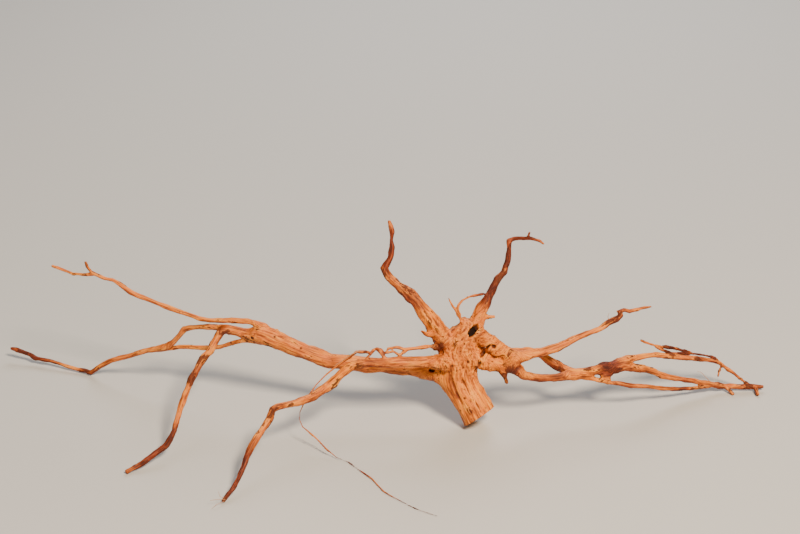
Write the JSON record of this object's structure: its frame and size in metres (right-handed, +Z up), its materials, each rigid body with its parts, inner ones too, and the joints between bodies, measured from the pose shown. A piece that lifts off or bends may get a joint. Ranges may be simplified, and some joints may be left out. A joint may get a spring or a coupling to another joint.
{
  "type": "dry root",
  "caption": "Dried barkless rootstock with a sawn stem, two upright horns and long crooked limbs that stand it up.",
  "frame": {"origin": "bottom centre of the bounding box, on the surface that the root stands on", "axes": "+Z up, +X along the longest spread towards the forked right limbs, +Y towards the back; the thin loose rootlet lies at the front"},
  "size_m": [0.7944, 0.3134, 0.2064],
  "materials": {
    "dry_wood": "bare dried wood, satin matte, with thin remnants of red-brown bark"
  },
  "bodies": {
    "root": {"root_wood": "dry_wood"}
  },
  "joints": []
}
